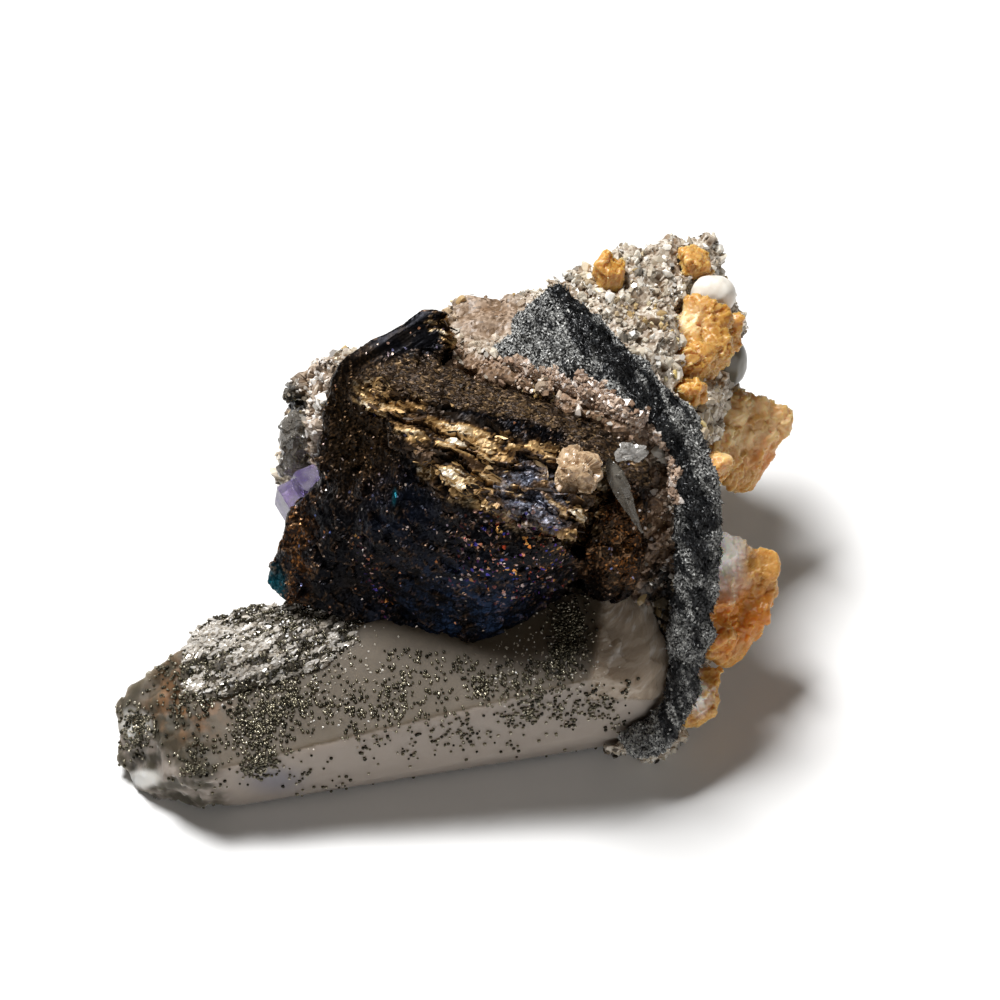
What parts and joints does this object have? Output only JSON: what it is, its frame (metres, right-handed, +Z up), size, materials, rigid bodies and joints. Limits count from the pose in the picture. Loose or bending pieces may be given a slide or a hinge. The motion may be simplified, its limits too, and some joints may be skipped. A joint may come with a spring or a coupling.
{
  "type": "arsenopyrite specimen",
  "caption": "Loose mineral specimen: ledged, tarnished arsenopyrite on a long quartz crystal and mica rock, with calcite and fluorite.",
  "frame": {"origin": "on the table, under the middle of the specimen's bounding box", "axes": "+X along the long quartz crystal towards the calcite end, +Y away from the display side, +Z up as it rests"},
  "size_m": [0.0804, 0.0594, 0.0475],
  "materials": {
    "smoky_quartz": "frosted grey-beige quartz, faintly see-through",
    "white_mica": "pearly white flakes with dark grains",
    "tarnished_arsenopyrite": "metallic, tarnished black, bronze, violet and blue",
    "mica_rock": "rough grey and beige rock with glittering mica",
    "black_needles": "matted black needles with grey grains",
    "orange_calcite": "stepped, waxy orange-yellow crystals",
    "pale_calcite": "pale yellow-white crystals",
    "white_calcite": "smooth creamy white",
    "purple_fluorite": "glassy violet cubes",
    "pink_mica": "sparkling pinkish-brown grains"
  },
  "bodies": {
    "root": {"quartz_crystal": "smoky_quartz", "side_quartz": "smoky_quartz", "quartz_splinter": "smoky_quartz", "quartz_chip": "smoky_quartz", "mica_crust": "white_mica", "arsenopyrite": "tarnished_arsenopyrite", "mica_rock": "mica_rock", "black_needle_seam": "black_needles", "orange_calcite_upper": "orange_calcite", "orange_calcite_middle": "orange_calcite", "orange_calcite_lower": "orange_calcite", "calcite_knob_1": "orange_calcite", "calcite_knob_2": "orange_calcite", "calcite_knob_3": "orange_calcite", "calcite_knob_4": "orange_calcite", "pale_calcite_foot": "pale_calcite", "white_calcite_disc": "white_calcite", "grey_calcite_ball": "white_calcite", "fluorite": "purple_fluorite", "pink_mica_chunk": "pink_mica"}
  },
  "joints": []
}
